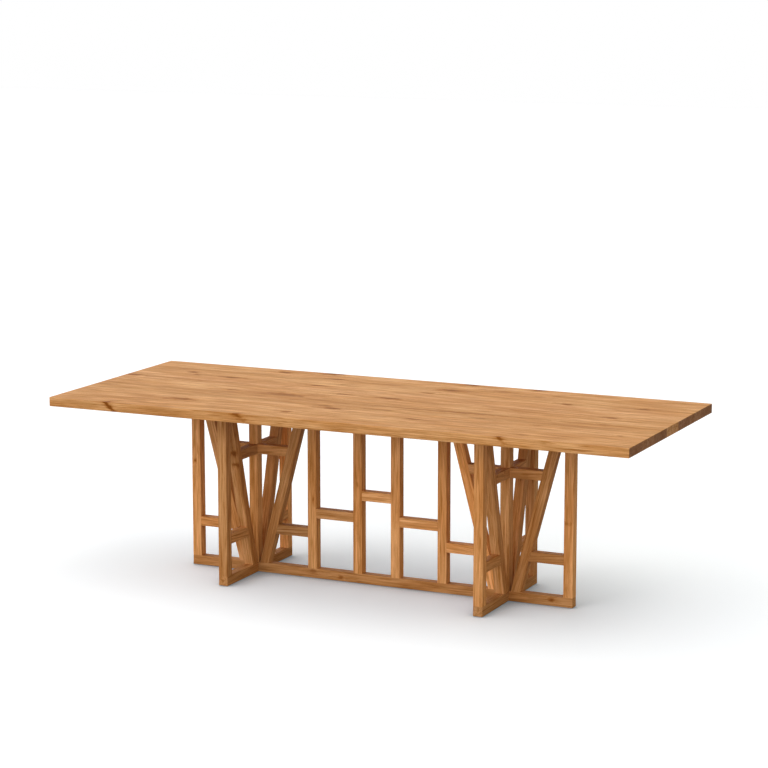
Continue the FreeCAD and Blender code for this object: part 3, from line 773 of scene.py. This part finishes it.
def make_felt():
    """Pressed felt: matted hairs of two browns."""
    material, tree = new_material("Pressed felt")
    place = add_node(tree, "ShaderNodeTexCoord").outputs["Object"]
    hairs = noise(tree, place, HAIR_CLOUDS, 3.0)
    bump = {"Height": hairs, "Distance": HAIR_HEIGHT, "Strength": 0.8}
    surface = {
        "Base Color": mix_colours(tree, hairs, FELT_DARK, FELT_PALE),
        "Roughness": 0.95,
        "Sheen Weight": 0.4,
        "Normal": add_node(tree, "ShaderNodeBump", bump).outputs[0],
    }
    shader = add_node(tree, "ShaderNodeBsdfPrincipled", surface)
    add_node(tree, "ShaderNodeOutputMaterial", {"Surface": shader.outputs[0]})
    return material


felt = make_felt()
finish_piece("felt_glides", felt)
print("glides:", felt.name)

# %% [markdown]
# ## The floor
# The table stands on a plain sheet of pale paper. Strong light could make the paper white, but it would
# bleach the oak as well. So the paper has one colour for the camera and a duller one for the light that
# it throws back up at the table. Brown light from the oak falls on the paper too, and a faint cool glow
# takes that tint out of the shadow. Where a rail or foot is close, less of the room reaches the paper:
# the ambient occlusion node measures that and darkens it there.

# %% Floor
FLOOR_HALF = 30.0
PAPER_SEEN = (1.09, 1.03, 0.99, 1.0)
PAPER_BOUNCE = (0.40, 0.40, 0.40, 1.0)
PAPER_GLOW = (0.045, 0.130, 0.180, 1.0)
CONTACT_REACH = 0.16  # how near a piece has to be to darken the paper
CONTACT_SHADE = 0.50  # what is left of the paper's light right beside a piece


def make_floor():
    """A flat sheet of matt white paper under the table."""
    mesh = bpy.data.meshes.new("floor")
    signs = ((-1, -1), (1, -1), (1, 1), (-1, 1))
    mesh.from_pydata([(x * FLOOR_HALF, y * FLOOR_HALF, 0) for x, y in signs], [], [(0, 1, 2, 3)])
    floor = bpy.data.objects.new("floor", mesh)
    bpy.context.scene.collection.objects.link(floor)

    material, tree = new_material("Studio paper")
    seen = add_node(tree, "ShaderNodeLightPath").outputs["Is Camera Ray"]
    reach = {"Distance": CONTACT_REACH}
    open_sky = add_node(tree, "ShaderNodeAmbientOcclusion", reach, samples=8).outputs["AO"]
    shade = between(tree, open_sky, 0.3, 1.0, CONTACT_SHADE, 1.0)
    colour = mix_colours(tree, seen, PAPER_BOUNCE, PAPER_SEEN)
    colour = calculate_vector(tree, "MULTIPLY", colour, shade)
    paper = add_node(tree, "ShaderNodeBsdfDiffuse", {"Color": colour})
    glow = {"Color": PAPER_GLOW, "Strength": calculate(tree, "MULTIPLY", seen, shade)}
    glow = add_node(tree, "ShaderNodeEmission", glow)
    lit = add_node(tree, "ShaderNodeAddShader", {0: paper.outputs[0], 1: glow.outputs[0]})
    add_node(tree, "ShaderNodeOutputMaterial", {"Surface": lit.outputs[0]})
    mesh.materials.append(material)
    return floor


floor = make_floor()
print("floor:", floor.name)

# %% [markdown]
# ## The white room
# The background is white and even. A white world of full strength would light the table from all sides
# and flatten it. So the world is fully white only where the camera, a mirror or a glass looks at it,
# and gives a weak even light to everything else.

# %% World
ROOM_LIGHT = 0.17
world = bpy.data.worlds.new("White room")
bpy.context.scene.world = world
world.use_nodes = True
tree = world.node_tree
tree.nodes.clear()
path = add_node(tree, "ShaderNodeLightPath").outputs
seen_in = calculate(tree, "MAXIMUM", path["Is Glossy Ray"], path["Is Transmission Ray"])
seen = calculate(tree, "MAXIMUM", path["Is Camera Ray"], seen_in)
level = calculate(tree, "MAXIMUM", seen, ROOM_LIGHT)
room = add_node(tree, "ShaderNodeBackground", {"Color": (1, 1, 1, 1), "Strength": level})
add_node(tree, "ShaderNodeOutputWorld", {"Surface": room.outputs[0]})
print(f"room light {ROOM_LIGHT}")

# %% [markdown]
# ## Lamps
# The photograph's light is soft and comes from all round: the top is brightest, the front faces come
# next and the right-hand faces are in shade. Panels of light could do that, but their light fades with
# distance and each would have to be set again for another table. A sun lamp keeps its strength, and
# with a wide angle its shadows are just as soft. The low lamps in front are a little cool and the low
# ones on the right are warm, because the shaded faces are a richer brown than the lit ones.

# %% Lamps
LAMP_SPREAD = 60
WHITE = (1.0, 1.0, 1.0)
COOL_WHITE = (0.98, 1.0, 1.12)
WARM_WHITE = (1.0, 0.93, 0.70)
LAMPS = {
    # name: compass turn from +X and height above the floor in degrees, strength, colour
    "key": (225, 10, 0.94, COOL_WHITE),
    "high key": (225, 35, 0.46, WHITE),
    "front": (265, 10, 1.23, COOL_WHITE),
    "right": (318, 10, 0.80, WARM_WHITE),
    "high right": (0, 60, 0.42, WHITE),
    "left": (180, 35, 0.63, WHITE),
    "high rim": (135, 35, 0.22, WHITE),
    "rim": (135, 15, 0.54, WHITE),
    "back": (45, 15, 0.40, WARM_WHITE),
    "overhead": (0, 90, 0.64, WHITE),
}


def add_sun(name, towards, strength, colour):
    """A sun lamp that stands in a direction from the table and shines back at it."""
    lamp = bpy.data.lights.new(name, "SUN")
    lamp.energy = strength
    lamp.color = colour
    lamp.angle = math.radians(LAMP_SPREAD)
    sun = bpy.data.objects.new(name, lamp)
    sun.rotation_euler = Vector(towards).to_track_quat("Z", "Y").to_euler()
    bpy.context.scene.collection.objects.link(sun)
    return sun


for lamp_name, (turn, height, strength, colour) in LAMPS.items():
    turn, height = math.radians(turn), math.radians(height)
    level_reach = math.cos(height)
    towards = (math.cos(turn) * level_reach, math.sin(turn) * level_reach, math.sin(height))
    add_sun(lamp_name, towards, strength, colour)
print("lamps:", ", ".join(LAMPS))

# %% [markdown]
# ## The camera
# The picture was taken with a long lens from the front right, a little above the table. A camera could
# be moved by eye until the two pictures look alike. This one was worked out from the corners of the top
# and the feet, so its lens, place and turns are set as numbers.

# %% Camera
CAMERA_PLACE = (4.1802, -8.9266, 2.5736)
CAMERA_TILT = 0.1744  # how far it looks down, in radians
CAMERA_TURN = 0.4356
LENS = 115.84
SENSOR = 36.0
lens = bpy.data.cameras.new("camera")
lens.sensor_width = SENSOR
lens.lens = LENS
camera = bpy.data.objects.new("camera", lens)
camera.location = CAMERA_PLACE
camera.rotation_euler = (math.pi / 2 - CAMERA_TILT, 0, CAMERA_TURN)
bpy.context.scene.collection.objects.link(camera)
bpy.context.scene.camera = camera
bpy.context.scene.view_settings.view_transform = "Standard"
print(f"camera at {CAMERA_PLACE}, lens {LENS} mm")
